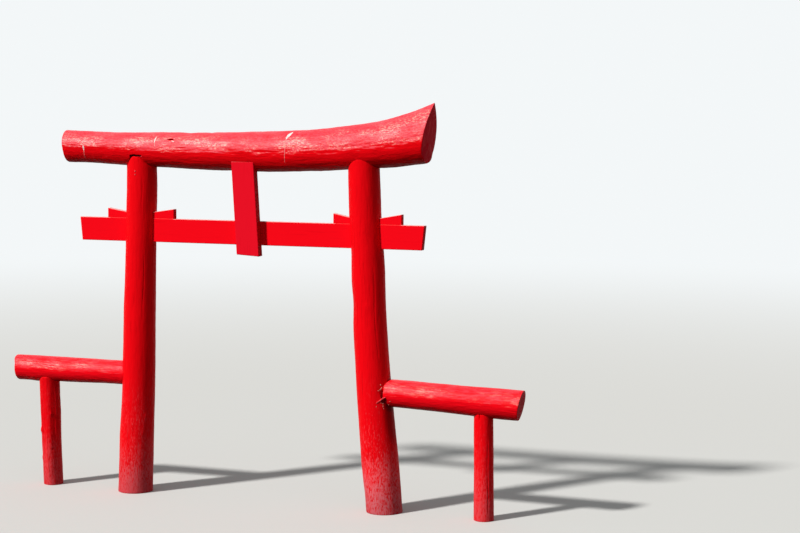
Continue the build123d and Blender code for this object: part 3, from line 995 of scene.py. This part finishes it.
CREST, BELLY = 90, -90
RIGHT_FLANK, LEFT_FLANK = 19, -161
PILLAR = dict(
    upright=True, rows=210, spokes=200, strength=0.7, arrises=(3, 5), scribed=(False, True),
    axis=(2, (0.04, 0.15, 0.3, 0.45, 0.6, 0.7, 0.88, 0.92)),
)
RAIL = dict(
    upright=False, rows=110, spokes=160, strength=0.9,
    axis=(1, (0.2, 0.3, 0.4, 0.5, 0.6, 0.7, 0.8)), finish="rail", end_finish="rail_end",
)
POST = dict(
    upright=True, rows=100, spokes=150, scribed=(False, True),
    axis=(1, (0.05, 0.2, 0.35, 0.5, 0.65, 0.85)),
)
LOG_PLANS = (
    LogPlan(
        "kasagi", upright=False, rows=290, spokes=216, seed=1, strength=1.3, arrises=(4, 4),
        scribed=(False, False), finish="beam",
        knots=(
            (0.477, CREST, -5, 45, 60), (0.664, CREST, -4, 24, 50), (2.140, BELLY, 8, 130, 80),
            (0.600, BELLY, 4, 160, 80), (-0.560, -110, 7, 90, 90), (1.720, CREST, 5, 180, 80),
        ),
        zones=((CREVICE_LEFT - 5 * MM, CREVICE_RIGHT + 5 * MM, 3), (0.318, 0.397, 3.5)),
        reshape_start=grow_end(-1, 9, -1, 0.2, 0.9), reshape_end=grow_end(1, 14, -1, 0.5, 0.95),
        carve=carve_beam,
    ),
    LogPlan(
        "left_pillar", seed=20, **PILLAR,
        knots=(
            (2.38, RIGHT_FLANK, 8, 240, 120), (1.43, LEFT_FLANK, 5, 250, 120),
            (0.45, LEFT_FLANK, 7, 220, 120), (0.617, -35, 4, 11, 7), (0.482, -44, 3, 9, 6),
            (1.62, -118, 2.5, 30, 18), (1.10, 95, 4, 26, 20),
        ),
        checks=(
            (1.35, 1.92, -52, 3, 3.5), (0.55, 1.25, -20, 3.5, 3.5), (0.30, 1.10, 110, 5, 4),
            (2.20, 2.50, -60, 2, 3.5),
        ),
        reshape_end=open_lip, carve=carve_lip,
    ),
    LogPlan(
        "right_pillar", seed=30, **PILLAR,
        knots=(
            (2.42, RIGHT_FLANK, 5, 200, 120), (1.85, RIGHT_FLANK, 9, 220, 120),
            (1.95, LEFT_FLANK, -8, 160, 120), (0.38, RIGHT_FLANK, 11, 380, 120),
            (0.08, LEFT_FLANK, -9, 170, 120), (1.57, LEFT_FLANK, -8, 120, 120),
            (1.55, -75, 3, 30, 16), (0.70, 80, 4, 24, 18), (0.46, -110, 2.5, 18, 12),
        ),
        checks=(
            (1.15, 1.85, -50, 3, 3.5), (0.25, 0.75, -85, 3, 3.5), (0.60, 1.50, 70, 5, 4),
            (0.862, 0.945, -46.5, 10, 5),
        ),
    ),
    LogPlan(
        "left_rail", seed=40, arrises=(4, 5), scribed=(False, True), **RAIL,
        knots=((-0.86, -100, 7, 60, 80),), reshape_start=grow_end(-1, 26, 1, 0.3, 1.0),
    ),
    LogPlan(
        "right_rail", seed=50, arrises=(13, 4), scribed=(True, False), **RAIL,
        knots=((2.113, -148, -24, 17, 15), (2.95, -100, 8, 260, 80)), zones=((2.085, 2.145, 4),),
        reshape_start=open_root, reshape_end=lean_right_rail_end,
    ),
    LogPlan(
        "left_post", seed=60, strength=1.1, arrises=(3, 4), **POST,
        knots=(
            (0.579, -58, 7, 16, 10), (0.441, -135, 9, 24, 16), (0.290, -57, -4, 9, 8),
            (0.215, -140, 5, 20, 14), (0.400, -72, 11, 450, 30),
        ),
        checks=((0.05, 0.45, -85, -5, 7), (0.30, 0.80, -30, -4, 6), (0.15, 0.70, -112, 3.5, 4)),
    ),
    LogPlan(
        "right_post", seed=70, strength=0.9, arrises=(3, 3), **POST,
        checks=((0.745, 0.85, -100, 13, 3.2), (0.05, 0.60, -50, 4, 4), (0.10, 0.55, -120, -3, 6)),
        zones=((0.70, 0.76, 4),),
    ),
)


LOG_PAINTS = {
    "beam": dict(upright=False, sheen=0.80, gloss=0.50, dark=(SPLIT_DARK,), crevice=True),
    "rail": dict(
        upright=False, base=PLANK_RED, grain=13, sheen=0.50, gloss=0.32, lined=0.75,
        dark=(ROOT_CORNER_SHADE,),
    ),
    "left_pillar": dict(turn=-1.4, feet=1.0, salting=0.50, foot_darkening=0.25),
    "right_pillar": dict(
        turn=4.0, feet=0.7, salting=0.95, foot_darkening=0.32,
        dark=(ROOT_GAP_SHADE, UNDER_FLAP_SHADE, UNDER_RAIL_SHADE, BELOW_RAIL_SHADE),
    ),
    "left_post": dict(base=WEATHERED_RED, feet=0.7, salting=0.34, foot_darkening=0.15),
    "right_post": dict(feet=0.7, salting=0.30, foot_darkening=0.10),
}


def make_finishes():
    """Paints of the sawn ends and of the logs, by the names that the plans give or by node."""
    finishes = {"end": end_paint("end_paint", 1.0), "rail_end": end_paint("rail_end_paint", 0.75)}
    for name, traits in LOG_PAINTS.items():
        finishes[name] = log_paint(name + "_paint", **traits)
    return finishes


def make_logs():
    """Skins every log. Gives back the finished pieces by node, for the marks that lie on them."""
    finishes, pieces = make_finishes(), {}
    for plan in LOG_PLANS:
        shape = LogShape(plan.node, plan.upright)
        if plan.axis:
            shape.fit_axis(*plan.axis)
        else:
            fit_beam_axis(shape)
        piece = build_log(plan, shape)
        dress(piece, finishes[plan.finish or plan.node], finishes[plan.end_finish], plan.node)
        pieces[plan.node] = piece
    return pieces


def make_planks():
    # Places on the nuki between each pair of wedges, where less sheen is painted
    shelters = []
    for left, right in (
        ("left_outer_wedge", "left_inner_wedge"), ("right_inner_wedge", "right_outer_wedge")
    ):
        low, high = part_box(left)[0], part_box(right)[1]
        middle = Vector(((low.x + high.x) / 2, 0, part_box("nuki")[1].z))
        shelters.append((middle, Vector(((high.x - low.x) / 2 + 10 * MM, 0.1, 0.03))))
    tie_finish = plank_paint("tie_paint", PLANK_RED, False, 0.80, shelters)
    board_finish = plank_paint("board_paint", CRIMSON, True, 0.30)
    for node, (low_reach, high_reach) in SAWN_REACH.items():
        board = node == "name_board"
        finish, slot = (board_finish, "painted_board") if board else (tie_finish, "painted_plank")
        sawn_piece(node, finish, low_reach, high_reach)


def sawn_piece(node, finish, low_reach, high_reach):
    """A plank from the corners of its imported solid, which it stands for, each moved out in
    proportion to how near it is to the sides of the box that reach further."""
    low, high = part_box(node)
    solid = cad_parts[node].data
    corners = [vertex.co.copy() for vertex in solid.vertices]
    for axis, down, up in zip((0, 2), low_reach, high_reach):
        for corner in corners:
            share = (corner[axis] - low[axis]) / (high[axis] - low[axis])
            corner[axis] += share * (up * MM) - (1 - share) * (down * MM)
    faces = [tuple(polygon.vertices) for polygon in solid.polygons]
    piece = mesh_object("sawn_" + node, [tuple(corner) for corner in corners], faces)
    whole = bmesh.new()
    whole.from_mesh(piece.data)
    bmesh.ops.remove_doubles(whole, verts=whole.verts, dist=0.01 * MM)
    whole.to_mesh(piece.data)
    whole.free()
    piece.data.materials.append(finish)
    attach(piece, BODY)
    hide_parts(node)


def make_droppings(tree):
    for name, paths, thickness, material in (
        ("droppings", SPLASHES, 1.4 * MM, plain_paint("dropping", GUANO, 0.8, 160)),
        ("dropping_runs", TAILS, 0.6 * MM, plain_paint("dropping_run", GUANO_RUN, 0.7, 120)),
    ):
        finish_piece(name, [mark_rings(tree, path, thickness) for path in paths], material)


def make_nail_heads(tree):
    heads = [nail_rings(*front_hit(tree, NAIL_X, height)) for height in NAIL_HEIGHTS]
    finish_piece("nail_heads", heads, plain_paint("nail_paint", NAIL_RED, 0.45, 90))


def make_splinters():
    """Torn paint and splinters where the right rail has worked loose from its pillar."""
    for name, paths, material in (
        ("torn_paint", (TORN_FLAP,), plain_paint("torn_paint", TORN_RED, 0.5, 90)),
        ("splinters", SPLINTERS, plain_paint("splinter", SPLINTER, 0.7, 120)),
    ):
        finish_piece(name, [strand_rings(path) for path in paths], material)


make_world()
make_floor()
make_lights()
make_camera()
logs = make_logs()
make_planks()
make_droppings(solid_tree(logs["kasagi"]))
make_nail_heads(solid_tree(logs["left_pillar"]))
make_splinters()
